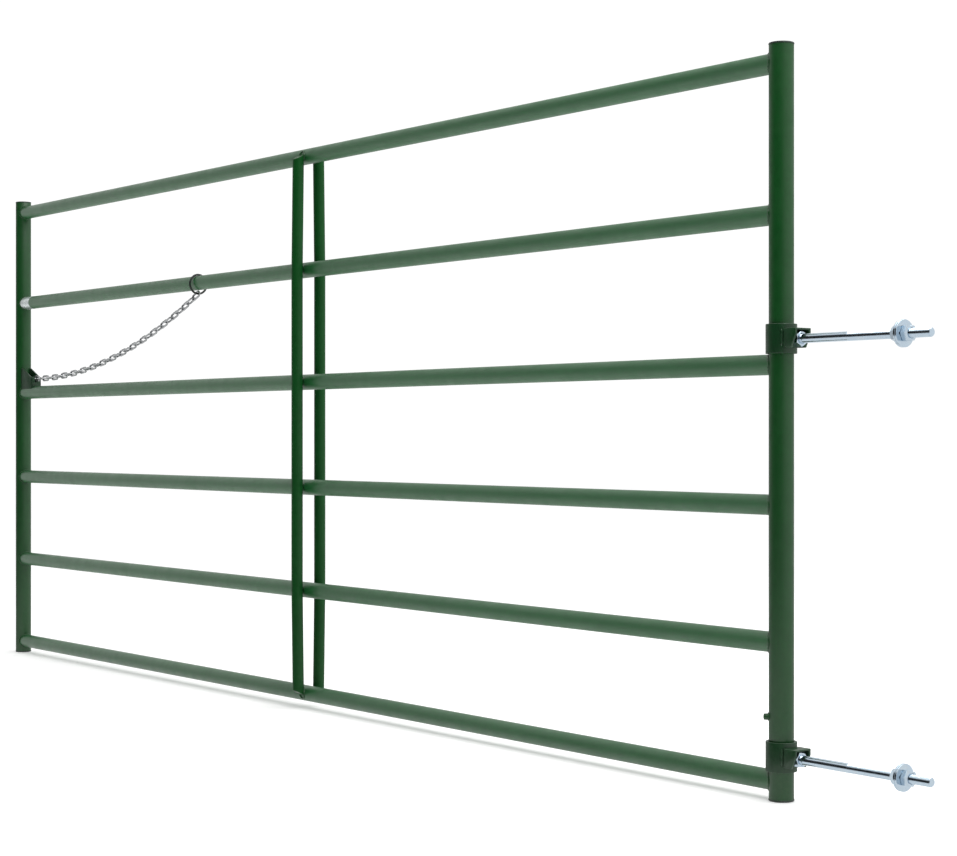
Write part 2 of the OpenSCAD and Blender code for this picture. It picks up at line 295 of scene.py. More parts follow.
def noise_value(tree, place, scale, detail=3.0, roughness=0.5):
    return add(tree, "ShaderNodeTexNoise", Vector=place, Scale=scale, Detail=detail,
               Roughness=roughness).outputs["Fac"]


def object_place(tree):
    return tree.nodes.new("ShaderNodeTexCoord").outputs["Object"]


def tone_group():
    """Uneven tone: patches and fine mottle that lighten and darken a colour"""
    tree, given, result = group(
        "uneven tone", {"Color": (0.5, 0.5, 0.5, 1), "Patch Scale": 4.0, "Spread": 0.1},
        "Color", "NodeSocketColor")
    place = object_place(tree)
    patches = noise_value(tree, place, given["Patch Scale"], 4.0)
    fine = calculate(tree, "MULTIPLY", given["Patch Scale"], MOTTLE_FINENESS)
    mottle = noise_value(tree, place, fine, 2.0)
    centred = calculate(tree, "SUBTRACT", calculate(tree, "ADD", patches, mottle), 1.0)
    swing = calculate(tree, "MULTIPLY_ADD", centred, given["Spread"], 1.0)
    scaled = add(tree, "ShaderNodeVectorMath", {"operation": "SCALE"}, _0=given["Color"], _3=swing)
    tree.links.new(scaled.outputs[0], result["Color"])
    return tree


def ripple_group():
    """Surface ripple: the fine waviness of a coat, a casting or a rolled surface, as a normal"""
    tree, given, result = group(
        "surface ripple", {"Scale": 600.0, "Depth": 0.00002, "Coarse": 0.5},
        "Normal", "NodeSocketVector")
    place = object_place(tree)
    fine = noise_value(tree, place, given["Scale"], 2.0)
    wide = noise_value(
        tree, place, calculate(tree, "MULTIPLY", given["Scale"], RIPPLE_COARSENESS), 2.0)
    height = calculate(tree, "MULTIPLY_ADD", wide, given["Coarse"], fine)
    bump = add(tree, "ShaderNodeBump", Height=height, Distance=given["Depth"], Strength=1.0)
    tree.links.new(bump.outputs["Normal"], result["Normal"])
    return tree


def dust_group():
    """Dust mask: a thin film on faces that look up, thicker near the ground"""
    tree, given, result = group(
        "dust film", {"Amount": 0.1, "Ground Height": 0.25}, "Mask", "NodeSocketFloat")
    place = object_place(tree)
    normal = tree.nodes.new("ShaderNodeNewGeometry").outputs["Normal"]
    up = add(tree, "ShaderNodeSeparateXYZ", _0=normal).outputs["Z"]
    level = add(tree, "ShaderNodeSeparateXYZ", _0=place).outputs["Z"]
    facing = ramp(tree, up, 0.2, 1.0, 0.0, 1.0, smooth=True)
    low = ramp(tree, level, 0.0, given["Ground Height"], 0.6, 0.0, smooth=True)
    speckle = noise_value(tree, place, 160.0, 5.0, 0.65)
    mask = calculate(tree, "MULTIPLY", calculate(tree, "MAXIMUM", facing, low),
                     ramp(tree, speckle, 0.38, 0.68, 0.15, 1.0))
    amount = calculate(tree, "MULTIPLY", mask, given["Amount"], clamp=True)
    tree.links.new(amount, result["Mask"])
    return tree


def rub_group():
    """Rub mask: corners and ridges where handling has worn a finish; on the chain it also lays
    painted highlights
    """
    tree, given, result = group(
        "rubbed edges", {"Amount": 0.5, "Breakup": 300.0}, "Mask", "NodeSocketFloat")
    ridge = tree.nodes.new("ShaderNodeNewGeometry").outputs["Pointiness"]
    corner = ramp(tree, ridge, 0.53, 0.60, 0.0, 1.0, smooth=True)
    grain = noise_value(tree, object_place(tree), given["Breakup"], 4.0, 0.7)
    mask = calculate(tree, "MULTIPLY", corner, ramp(tree, grain, 0.42, 0.62, 0.0, 1.0))
    amount = calculate(tree, "MULTIPLY", mask, given["Amount"], clamp=True)
    tree.links.new(amount, result["Mask"])
    return tree


GROUPS = {}


def shared(tree, name, **inputs):
    """Output of a shared group placed in a material. The group is built at its first use."""
    makers = {"tone": tone_group, "ripple": ripple_group, "dust": dust_group, "rub": rub_group}
    if name not in GROUPS:
        GROUPS[name] = makers[name]()
    node = tree.nodes.new("ShaderNodeGroup")
    node.node_tree = GROUPS[name]
    for key, value in inputs.items():
        node.inputs[key.replace("_", " ")].default_value = value
    return node.outputs[0]


# ---- materials ----

def material(name, metallic=0.0):
    """A new material with its tree and its Principled shader."""
    made = bpy.data.materials.new(name)
    made.use_nodes = True
    shader = made.node_tree.nodes["Principled BSDF"]
    shader.inputs["Metallic"].default_value = metallic
    return made, made.node_tree, shader


def mix_color(tree, mask, first, second):
    """Colour socket that goes from first to second by a mask."""
    mix = add(tree, "ShaderNodeMix", {"data_type": "RGBA"})
    tree.links.new(mask, mix.inputs[0])
    for index, value in ((6, first), (7, second)):
        if isinstance(value, bpy.types.NodeSocket):
            tree.links.new(value, mix.inputs[index])
        else:
            mix.inputs[index].default_value = value
    return mix.outputs[2]


def lay_surface(tree, shader, color, ripple, gloss):
    """Links a colour, a ripple (scale, depth, coarse) and a roughness (base, swing, scale)."""
    tree.links.new(color, shader.inputs["Base Color"])
    scale, depth, coarse = ripple
    bumps = shared(tree, "ripple", Scale=scale, Depth=depth, Coarse=coarse)
    tree.links.new(bumps, shader.inputs["Normal"])
    base, swing, wander_scale = gloss
    wander = noise_value(tree, object_place(tree), wander_scale, 4.0)
    rough = ramp(tree, wander, 0.3, 0.7, base - swing, base + swing)
    tree.links.new(rough, shader.inputs["Roughness"])


def solid_color(vector):
    return (*vector, 1.0)


def painted_metal(name, color, roughness, dust, rub, grain=0, axis="Z", specular=0.5):
    """Powder coat with orange peel, uneven tone, a film of dust and rubbed corners.

    Grain spreads the gloss round a drawn tube that lies along an axis."""
    made, tree, shader = material(name)
    shader.inputs["Specular IOR Level"].default_value = specular
    if grain:
        shader.inputs["Anisotropic"].default_value = grain
        round_tube = add(tree, "ShaderNodeTangent", {"direction_type": "RADIAL", "axis": axis})
        tree.links.new(round_tube.outputs[0], shader.inputs["Tangent"])
    tone = shared(tree, "tone", Color=solid_color(color), Patch_Scale=3.5, Spread=0.30)
    film = shared(tree, "dust", Amount=dust, Ground_Height=0.3)
    wear_and_painted_highlight = shared(tree, "rub", Amount=rub, Breakup=420.0)
    dusty = mix_color(tree, film, tone, (0.30, 0.32, 0.26, 1))
    shown = mix_color(tree, wear_and_painted_highlight, dusty, (0.12, 0.20, 0.14, 1))
    lay_surface(tree, shader, shown, (750.0, 0.00003, 1.4), (roughness, 0.05, 40.0))
    return made


def zinc_plate(name, color):
    """Bright zinc: bluish metal with clouded passivation and darker rubbed corners."""
    made, tree, shader = material(name, metallic=1.0)
    tone = shared(tree, "tone", Color=solid_color(color), Patch_Scale=28.0, Spread=0.12)
    wear_and_painted_highlight = shared(tree, "rub", Amount=0.15, Breakup=500.0)
    cloud = noise_value(tree, object_place(tree), 60.0, 5.0, 0.6)
    clouded = mix_color(tree, ramp(tree, cloud, 0.48, 0.72, 0.0, 0.2), tone, (0.66, 0.68, 0.64, 1))
    shown = mix_color(tree, wear_and_painted_highlight, clouded, (0.40, 0.42, 0.45, 1))
    lay_surface(tree, shader, shown, (1400.0, 0.000001, 2.0), (0.19, 0.04, 90.0))
    return made


def chain_steel(name, color):
    """Tumbled steel wire: grey metal of uneven tone, lighter on the links' ridges, partly from
    polish where they rub and partly as painted highlight.
    """
    made, tree, shader = material(name, metallic=1.0)
    tone = shared(tree, "tone", Color=solid_color(color), Patch_Scale=55.0, Spread=0.7)
    # Painted highlight: the links' ridges are lightened strongly, more than rubbing alone would do,
    # so that they show bright highlights.
    wear_and_painted_highlight = shared(tree, "rub", Amount=0.8, Breakup=260.0)
    shown = mix_color(tree, wear_and_painted_highlight, tone, (0.62, 0.63, 0.64, 1))
    lay_surface(tree, shader, shown, (1100.0, 0.000012, 1.0), (0.28, 0.08, 180.0))
    return made


def cap_plastic(name, color):
    """Moulded plastic of the end caps, fine-grained and slightly dusty."""
    made, tree, shader = material(name)
    tone = shared(tree, "tone", Color=solid_color(color), Patch_Scale=30.0, Spread=0.3)
    film = shared(tree, "dust", Amount=0.12, Ground_Height=0.02)
    shown = mix_color(tree, film, tone, (0.25, 0.26, 0.23, 1))
    lay_surface(tree, shader, shown, (1800.0, 0.00005, 0.4), (0.46, 0.06, 120.0))
    return made


def foil_sheet(name, color):
    """Crinkled foil: bright metal with painted shade in dark lines along its creases, and grey
    rubbed patches.
    """
    made, tree, shader = material(name, metallic=0.85)
    tone = shared(tree, "tone", Color=solid_color(color), Patch_Scale=90.0, Spread=0.3)
    # Painted shade: lines along the creases are darkened in the colour.
    crease = add(tree, "ShaderNodeTexVoronoi", {"feature": "DISTANCE_TO_EDGE"},
                 Vector=object_place(tree), Scale=230.0)
    line = ramp(tree, crease.outputs["Distance"], 0.0, 0.09, 0.65, 0.0)
    shown = mix_color(tree, line, tone, (0.30, 0.36, 0.36, 1))
    lay_surface(tree, shader, shown, (420.0, 0.0004, 1.0), (0.34, 0.1, 200.0))
    return made


MATERIALS = {}


def finish(kind):
    """The material of a kind of surface, made at its first use."""
    if kind not in MATERIALS:
        look = bpy.context.scene.gate_finish
        tube = (look.paint_roughness, 0.05, 0.0, look.paint_grain)
        makers = {
            "green_powder_coat": lambda: painted_metal(
                "green powder coat", look.paint, look.paint_roughness, 0.05, 0.10),
            "upright_coat": lambda: painted_metal(
                "green powder coat on uprights", look.paint, *tube, "Z"),
            # Painted reflection: the rails get the lighter green over the same powder coat as the
            # uprights.
            "rail_coat_painted_lighter": lambda: painted_metal(
                "green powder coat on rails", look.rail_paint_with_painted_reflection, look.rail_roughness, 0.05, 0.0,
                look.paint_grain, "X", look.rail_gloss),
            "brace_coat": lambda: painted_metal(
                "green powder coat on braces", look.paint, *tube, "Z", look.brace_gloss),
            "ring_coat": lambda: painted_metal("ring paint", look.ring_paint, 0.45, 0.05, 0.3),
            "hinge_paint": lambda: painted_metal(
                "hinge paint", look.hinge_paint, look.paint_roughness, 0.05, 0.3,
                look.paint_grain, "Z"),
            "cap_plastic": lambda: cap_plastic("cap plastic", look.cap),
            "zinc_plate": lambda: zinc_plate("zinc plate", look.zinc),
            "chain_steel": lambda: chain_steel("chain steel", look.chain),
            "foil": lambda: foil_sheet("foil", look.foil),
        }
        MATERIALS[kind] = makers[kind]()
    return MATERIALS[kind]


# ---- mesh tools ----

def angles_round(steps):
    return [TURN * i / steps for i in range(steps)]


def verts_in(geom):
    return [item for item in geom if isinstance(item, bmesh.types.BMVert)]


def open_edges(geom):
    return [item for item in geom if isinstance(item, bmesh.types.BMEdge) and item.is_boundary]


def soften(bm, edges, width, segments=3):
    """Rounds off edges."""
    bmesh.ops.bevel(bm, geom=edges, offset=width, offset_type="OFFSET", segments=segments,
                    profile=0.5, affect="EDGES", material=-1)


def trim(bm, place, outward):
    """Cuts away all that lies beyond a plane."""
    bmesh.ops.bisect_plane(bm, geom=bm.verts[:] + bm.edges[:] + bm.faces[:], dist=1e-7,
                           plane_co=place, plane_no=outward, clear_outer=True)


def close_holes(bm):
    bmesh.ops.holes_fill(bm, edges=open_edges(bm.edges), sides=0)


def absorb(bm, part):
    """Adds one bmesh to another and frees it."""
    holder = bpy.data.meshes.new("part")
    part.to_mesh(holder)
    part.free()
    bm.from_mesh(holder)
    bpy.data.meshes.remove(holder)


def lathe(bm, profile, sides, matrix=Matrix.Identity(4), closed=True):
    """Spins a profile of (radius, height) points round Z, then places it."""
    verts = [bm.verts.new((radius, 0, height)) for radius, height in profile]
    pairs = list(zip(verts, verts[1:]))
    if closed:
        pairs.append((verts[-1], verts[0]))
    edges = [bm.edges.new(pair) for pair in pairs]
    before = set(bm.verts) - set(verts)
    bmesh.ops.spin(bm, geom=verts + edges, cent=(0, 0, 0), axis=(0, 0, 1), angle=TURN,
                   steps=sides, use_merge=True)
    made = [v for v in bm.verts if v not in before]
    bmesh.ops.transform(bm, matrix=matrix, verts=made)
    return made


def rounded(points, radius, steps=3):
    """A closed outline with each of its corners turned into an arc."""
    outline = []
    count = len(points)
    for i, point in enumerate(points):
        corner = Vector(point)
        back = Vector(points[i - 1]) - corner
        ahead = Vector(points[(i + 1) % count]) - corner
        reach = min(radius, back.length * 0.45, ahead.length * 0.45)
        first = corner + back.normalized() * reach
        last = corner + ahead.normalized() * reach
        for k in range(steps + 1):
            t = k / steps
            outline.append(tuple(
                first * (1 - t) ** 2 + corner * 2 * t * (1 - t) + last * t ** 2))
    return outline


def sweep_loop(bm, path, reference, radii, sides):
    """Sweeps a round section along a closed path, with a radius for each point."""
    count = len(path)
    places = []
    for i, point in enumerate(path):
        tangent = (path[(i + 1) % count] - path[i - 1]).normalized()
        across = reference.cross(tangent).normalized()
        place = Matrix((tangent.cross(across) * -1, across, tangent)).transposed().to_4x4()
        place.translation = point
        places.append(place @ Matrix.Scale(radii[i], 4))
    ring = bmesh.ops.create_circle(bm, segments=sides, radius=1, matrix=places[0])["verts"]
    edges = list({edge for vert in ring for edge in vert.link_edges})
    for i in range(count):
        made = bmesh.ops.extrude_edge_only(bm, edges=edges)["geom"]
        edges = open_edges(made)
        step = places[(i + 1) % count] @ places[i].inverted()
        bmesh.ops.transform(bm, matrix=step, verts=verts_in(made))


def plate(bm, outline, thickness, matrix, bevel):
    """Extrudes an outline in XY to a plate with softened edges, then places it."""
    verts = [bm.verts.new((x, y, 0)) for x, y in outline]
    face = bm.faces.new(verts)
    made = bmesh.ops.extrude_face_region(bm, geom=[face])["geom"]
    top = verts_in(made)
    bmesh.ops.translate(bm, vec=(0, 0, thickness), verts=top)
    everything = verts + top
    bmesh.ops.transform(bm, matrix=matrix, verts=everything)
    edges = list({edge for vert in everything for edge in vert.link_edges})
    soften(bm, edges, bevel, 2)


def make_piece(bm, name, body, slot, replaces=(), crease=35, coat=None):
    """Turns a bmesh into a finished piece that rides on a body."""
    bmesh.ops.remove_doubles(bm, verts=bm.verts, dist=1e-6)
    bmesh.ops.recalc_face_normals(bm, faces=bm.faces)
    for face in bm.faces:
        face.smooth = True
    for edge in bm.edges:
        edge.smooth = len(edge.link_faces) == 2 and edge.calc_face_angle(0) < math.radians(crease)
    mesh = bpy.data.meshes.new(name)
    bm.to_mesh(mesh)
    bm.free()
    mesh.materials.append(finish(coat or slot))
    piece = bpy.data.objects.new(name, mesh)
    bpy.context.scene.collection.objects.link(piece)
    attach(piece, body)
    if replaces:
        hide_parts(*replaces)
    return piece


def turned_to_x(x, y, z):
    """Placement of a shape made round Z so that it points along +X from a point."""
    return Matrix.Translation((x, y, z)) @ Z_TO_X


# ---- uprights, rails and caps ----

def upright_tube(node, settings):
    """An upright, open at both ends for its caps."""
    low, high = box(node)
    outer = UPRIGHT_R
    inner = outer - settings.upright_wall
    bm = bmesh.new()
    wall = [(inner, low.z), (outer, low.z), (outer, high.z), (inner, high.z)]
    place = Matrix.Translation((middle(node).x, 0, 0))
    lathe(bm, rounded(wall, 0.4 * MM, 2), settings.sides, place)
    make_piece(bm, node + "_tube", "leaf", "green_powder_coat", [node], coat="upright_coat")


def rail_tube(node, settings):
    """A rail between the uprights, its ends coped to them."""
    outer = RAIL_R
    inner = outer - settings.rail_wall
    length = HINGE_X - LATCH_X
    bm = bmesh.new()
    lathe(bm, [(inner, 0), (outer, 0), (outer, length), (inner, length)], settings.sides,
          turned_to_x(LATCH_X, 0, middle(node).z))
    for vert in bm.verts:
        reach = math.sqrt(UPRIGHT_R ** 2 - vert.co.y ** 2)
        vert.co.x = LATCH_X + reach if vert.co.x < (LATCH_X + HINGE_X) / 2 else HINGE_X - reach
    make_piece(bm, node + "_tube", "leaf", "green_powder_coat", [node], coat="rail_coat_painted_lighter")


def weld_ripple(step, seed):
    """Size of a weld bead at one step, with the waves that its puddles leave."""
    wave = 0.10 * math.sin(step * 1.9 + seed)
    return 1 + wave + 0.16 * noise.noise(Vector((step * 0.21, seed * 3.7, 0.5)))


def rail_welds(name, axis_x, towards, settings):
    """The beads where every rail meets one upright."""
    bm = bmesh.new()
    steps = 72
    for number, node in enumerate(RAILS):
        level = middle(node).z
        path = []
        for angle in angles_round(steps):
            across = RAIL_R * math.cos(angle)
            reach = math.sqrt(UPRIGHT_R ** 2 - across ** 2)
            path.append(Vector((
                axis_x + towards * reach, across, level + RAIL_R * math.sin(angle))))
        radii = [settings.weld_radius * weld_ripple(i, number + 6 * (towards > 0))
                 for i in range(steps)]
        sweep_loop(bm, path, Vector((1, 0, 0)), radii, 10)
    make_piece(bm, name, "leaf", "green_powder_coat")


def end_cap(node, up):
    """A plastic cap: a plug in the tube under a dished flange with a round edge."""
    low, high = box(node)
    outer = extent(node).x / 2
    plug = UPRIGHT_R - CAP_PLUG_INSET
    dish = outer - CAP_LIP
    floor = CAP_FLANGE - CAP_DISH_DEPTH
    outline = [(0, floor), (dish * 0.5, floor), (dish * 0.95, floor), (dish + 1 * MM, CAP_FLANGE),
               (outer - 1.1 * MM, CAP_FLANGE), (outer - 0.35 * MM, CAP_FLANGE - 0.35 * MM),
               (outer, CAP_FLANGE - 1.1 * MM), (outer, 0.5 * MM), (outer - 0.3 * MM, 0.1 * MM),
               (plug, 0.05 * MM), (plug, 1 * MM - CAP_PLUG_DEPTH),
               (plug - 1 * MM, -CAP_PLUG_DEPTH), (0, -CAP_PLUG_DEPTH)]
    base = high.z - CAP_FLANGE if up else low.z + CAP_FLANGE
    place = Matrix.Translation((middle(node).x, 0, base))
    if not up:
        place = place @ Matrix.Scale(-1, 4, (0, 0, 1))
    bm = bmesh.new()
    lathe(bm, outline, 64, place, closed=False)
    make_piece(bm, node + "_moulding", "leaf", "cap_plastic", [node])


class GATE_OT_tubes(Operator):
    """Uprights and rails, with the welds between them"""
    bl_idname = "gate.tubes"
    bl_label = "Uprights and rails"

    def execute(self, context):
        settings = context.scene.gate_tubes
        for node in ("hinge_upright", "latch_upright"):
            upright_tube(node, settings)
        for node in RAILS:
            rail_tube(node, settings)
        rail_welds("hinge_side_welds", HINGE_X, -1, settings)
        rail_welds("latch_side_welds", LATCH_X, 1, settings)
        return {"FINISHED"}


class GATE_OT_caps(Operator):
    """The four plastic end caps"""
    bl_idname = "gate.caps"
    bl_label = "End caps"

    def execute(self, context):
        for side in ("hinge", "latch"):
            end_cap(side + "_upright_top_cap", True)
            end_cap(side + "_upright_foot_cap", False)
        return {"FINISHED"}


# ---- braces ----

def brace_levels(low, high, bends):
    """Heights of a brace's rings: close together over the outer rails, sparse between."""
    step = BRACE_END_REACH / BRACE_END_RINGS
    levels = [low + step * i for i in range(BRACE_END_RINGS + 1)]
    levels += [bends[0], (bends[0] + bends[1]) / 2, bends[1]]
    return levels + [high - step * i for i in range(BRACE_END_RINGS, -1, -1)]


def brace_tube(node, side, settings):
    """A brace: bent in at its ends, saddled to the outer rails and closed with slanted ends."""
    low, high = box(node)
    radius = settings.brace_radius
    bow = RAIL_R + radius + BRACE_STANDOFF
    bends = (middle("fifth_rail").z, middle("second_rail").z)
    outer_rails = (middle("bottom_rail").z, middle("top_rail").z)
    drop = settings.brace_end_drop
    levels = brace_levels(low.z + drop / 2, high.z - drop / 2, bends)
    bm = bmesh.new()
    ring = bmesh.ops.create_circle(bm, segments=48, radius=radius)["verts"]
    edges = list({edge for vert in ring for edge in vert.link_edges})
    rows = [ring]
    for _ in levels[1:]:
        made = bmesh.ops.extrude_edge_only(bm, edges=edges)["geom"]
        rows.append(verts_in(made))
        edges = open_edges(made)
    for row, level in zip(rows, levels):
        past = max(0, (level - bends[1]) / (high.z - bends[1]),
                   (bends[0] - level) / (bends[0] - low.z))
        tilt = (max(0, 1 - (levels[-1] - level) / BRACE_END_REACH)
                - max(0, 1 - (level - levels[0]) / BRACE_END_REACH))
        for vert in row:
            across = vert.co.y
            vert.co.z = level - tilt * across * drop / (2 * radius)
            vert.co.y = across + bow - settings.brace_draw_in * past
            for rail in outer_rails:
                offset = vert.co.z - rail
                if abs(offset) < RAIL_R:
                    surface = math.sqrt(RAIL_R ** 2 - offset ** 2) - SADDLE_BITE
                    vert.co.y = max(vert.co.y, surface)
    rims = open_edges(bm.edges)
    bmesh.ops.holes_fill(bm, edges=rims, sides=0)
    soften(bm, rims, 0.9 * MM)
    place = Matrix.Translation((middle(node).x, 0, 0)) @ Matrix.Scale(side, 4, (0, 1, 0))
    bmesh.ops.transform(bm, matrix=place, verts=bm.verts)
    make_piece(bm, node + "_tube", "leaf", "green_powder_coat", [node], coat="brace_coat")


def brace_welds(settings):
    """The beads round the contact of each brace end with its outer rail."""
    bm = bmesh.new()
    radius = settings.brace_radius
    centre = RAIL_R + radius + BRACE_STANDOFF - settings.brace_draw_in
    half = math.sqrt(radius ** 2 - (centre - RAIL_R) ** 2)
    steps = 40
    ends = [(rail, brace) for rail in ("top_rail", "bottom_rail")
            for brace in (("front_brace", -1), ("back_brace", 1))]
    for number, (rail, (node, side)) in enumerate(ends):
        path = []
        for angle in angles_round(steps):
            x = half * math.cos(angle)
            y = centre - math.sqrt(radius ** 2 - x ** 2)
            z = math.sqrt(max(0, RAIL_R ** 2 - y ** 2)) * (1 if angle < math.pi else -1)
            path.append(Vector((middle(node).x + x, side * y, middle(rail).z + z)))
        radii = [0.85 * settings.weld_radius * weld_ripple(i, number) for i in range(steps)]
        sweep_loop(bm, path, Vector((0, 1, 0)), radii, 8)
    make_piece(bm, "brace_welds", "leaf", "green_powder_coat")


class GATE_OT_braces(Operator):
    """The front and back braces and their welds"""
    bl_idname = "gate.braces"
    bl_label = "Braces"

    def execute(self, context):
        settings = context.scene.gate_tubes
        brace_tube("front_brace", -1, settings)
        brace_tube("back_brace", 1, settings)
        brace_welds(settings)
        return {"FINISHED"}


# ---- lift stop ----

class GATE_OT_lift_stop(Operator):
    """The stud above the lower sleeve, with its weld"""
    bl_idname = "gate.lift_stop"
    bl_label = "Lift stop"

    def execute(self, context):
        settings = context.scene.gate_tubes
        low, high = box("lift_stop")
        radius = (high.z - low.z) / 2
        outward = Vector((-1, -1, 0)).normalized()
        reach = -(low.x + low.y) / math.sqrt(2) - radius
        turn = outward.to_track_quat("Z", "X").to_matrix().to_4x4()
        place = Matrix.Translation((HINGE_X, 0, middle("lift_stop").z)) @ turn
        root = UPRIGHT_R - 2 * MM
        crown = 2 * MM
        tip = [(radius * math.cos(a), reach - crown + crown * math.sin(a)) for a in (0, 0.5, 1.0)]
        outline = [(0, root), (radius, root)] + tip + [(radius * 0.35, reach), (0, reach)]
        bm = bmesh.new()
        lathe(bm, outline, 32, place, closed=False)
        steps = 36
        path = []
        for angle in angles_round(steps):
            across = radius * math.cos(angle)
            path.append(place @ Vector((radius * math.sin(angle), across,
                                        math.sqrt(UPRIGHT_R ** 2 - across ** 2))))
        radii = [0.6 * settings.weld_radius * weld_ripple(i, 31) for i in range(steps)]
        sweep_loop(bm, path, outward, radii, 8)
        make_piece(bm, "lift_stop_stud", "leaf", "green_powder_coat", ["lift_stop"])
        return {"FINISHED"}


# ---- hinge sleeves, bolts, nuts and washers ----

def hinge_sleeve(hinge, settings):
    """A band round the upright with an inverted channel for the bolt welded to its side."""
    node = hinge + "_hinge_sleeve"
    low, high = box(node)
    outer = extent(node).y / 2
    inner = outer - settings.sleeve_wall
    axis_z = middle(hinge + "_hinge_bolt").z
    boss_x = box(hinge + "_lock_nut")[0].x - 0.2 * MM
    half_in = max(extent(hinge + "_lock_nut").z / 2 + 0.8 * MM, 14.4 * MM)
    half_out = half_in + settings.ear_wall
    top = half_in + EAR_TOP
    bm = bmesh.new()
    band = rounded([(inner, low.z), (outer, low.z), (outer, high.z), (inner, high.z)], 1.2 * MM)
    lathe(bm, band, 72)
    section = [(-half_out, -half_in), (-half_in, -half_in), (-half_in, half_in),
               (half_in, half_in), (half_in, -half_in), (half_out, -half_in),
               (half_out, top), (-half_out, top)]
    root = inner + CHANNEL_BITE
    channel = bmesh.new()
    face = channel.faces.new([channel.verts.new((root, y, axis_z + z)) for y, z in section])
    made = bmesh.ops.extrude_face_region(channel, geom=[face])["geom"]
    bmesh.ops.translate(channel, vec=(high.x - root, 0, 0), verts=verts_in(made))
    lean = settings.ear_slope
    trim(channel, (high.x, 0, axis_z + half_in / 2), (math.cos(lean), 0, -math.sin(lean)))
    close_holes(channel)
    bmesh.ops.recalc_face_normals(channel, faces=channel.faces)
    soften(channel, [e for e in channel.edges if len(e.link_faces) == 2
                     and e.calc_face_angle(0) > math.radians(20)], 0.9 * MM)
    boss = Matrix.Translation(((inner + boss_x) / 2 + 1 * MM, 0, axis_z)) @ Matrix.Diagonal(
        (boss_x - inner - 2 * MM, 2 * half_in + 0.4 * MM, 2 * half_in, 1))
    bmesh.ops.create_cube(channel, size=1, matrix=boss)
    absorb(bm, channel)
    for side in (-1, 1):
        seam(bm, outer, side * half_out, axis_z - half_in + 2 * MM, axis_z + top - 1 * MM)
    make_piece(bm, hinge + "_sleeve", "post_bolts", "hinge_paint", [node])


def seam(bm, band_radius, across, bottom, top):
    """An upright bead in the corner between a sleeve's band and one of its ears."""
    reach = math.sqrt(band_radius ** 2 - across ** 2)
    steps = 10
    outline = [(0, bottom)]
    for i in range(steps + 1):
        t = i / steps
        swell = 2.1 * MM * math.sqrt(max(0.02, 1 - (2 * t - 1) ** 6))
        outline.append((swell * weld_ripple(i, across * 900), bottom + t * (top - bottom)))
    outline.append((0, top))
    lathe(bm, outline, 10, Matrix.Translation((reach + 0.2 * MM, across, 0)), closed=False)


def threaded_rod(bm, start, end, crest, settings, chamfer):
    """A closed length of screw thread along Z, whose far end may be chamfered."""
    pitch = settings.thread_pitch
    root = crest - settings.thread_depth
    sides = settings.thread_sides
    turns = math.ceil((end - start) / pitch) + 3
    rod = bmesh.new()
    ridge = [(root, 0.0), (crest, 0.40), (crest, 0.60), (root, 1.0)]
    verts = [rod.verts.new((r, 0, start + pitch * (t - 2))) for r, t in ridge]
    edges = [rod.edges.new(pair) for pair in zip(verts, verts[1:])]
    bmesh.ops.spin(rod, geom=verts + edges, cent=(0, 0, 0), axis=(0, 0, 1),
                   dvec=(0, 0, pitch / sides), angle=TURN, steps=sides)
    first = rod.verts[:] + rod.edges[:] + rod.faces[:]
    for number in range(1, turns):
        copy = bmesh.ops.duplicate(rod, geom=first)["geom"]
        bmesh.ops.translate(rod, vec=(0, 0, pitch * number), verts=verts_in(copy))
    bmesh.ops.remove_doubles(rod, verts=rod.verts, dist=2e-5)
    trim(rod, (0, 0, start), (0, 0, -1))
    trim(rod, (0, 0, end), (0, 0, 1))
    bmesh.ops.remove_doubles(rod, verts=rod.verts, dist=1e-6)
    close_holes(rod)
    if chamfer:
        for vert in rod.verts:
            limit = crest - 1.5 * MM + (end - vert.co.z)
            radius = math.hypot(vert.co.x, vert.co.y)
            if radius > limit:
                vert.co.x *= limit / radius
                vert.co.y *= limit / radius
    absorb(bm, rod)


def hinge_bolt(hinge, settings):
    """A bolt with thread at its root, a plain shank and thread to its free end."""
    node = hinge + "_hinge_bolt"
    low, high = box(node)
    shank = extent(node).z / 2
    crest = shank - CREST_GAP
    shank_start = box(hinge + "_lock_nut")[1].x + 2.8 * MM
    shank_end = shank_start + settings.shank_length
    bm = bmesh.new()
    threaded_rod(bm, low.x, shank_start + 1 * MM, crest, settings, False)
    threaded_rod(bm, shank_end - 1 * MM, high.x, crest, settings, True)
    core = shank - settings.thread_depth - 0.3 * MM
    edge = 0.8 * MM
    lathe(bm, [(0, shank_start - edge), (core, shank_start - edge), (shank, shank_start + edge),
               (shank, shank_end - edge), (core, shank_end + edge), (0, shank_end + edge)], 48,
          closed=False)
    bmesh.ops.transform(bm, matrix=turned_to_x(0, 0, middle(node).z), verts=bm.verts)
    make_piece(bm, hinge + "_bolt", "post_bolts", "zinc_plate", [node], crease=32)


def hexagon_radius(angle, half_flat):
    """Distance from a hexagon's middle to its edge, with a corner at angle 0."""
    sixth = math.pi / 3
    return half_flat / math.cos((angle % sixth) - sixth / 2)


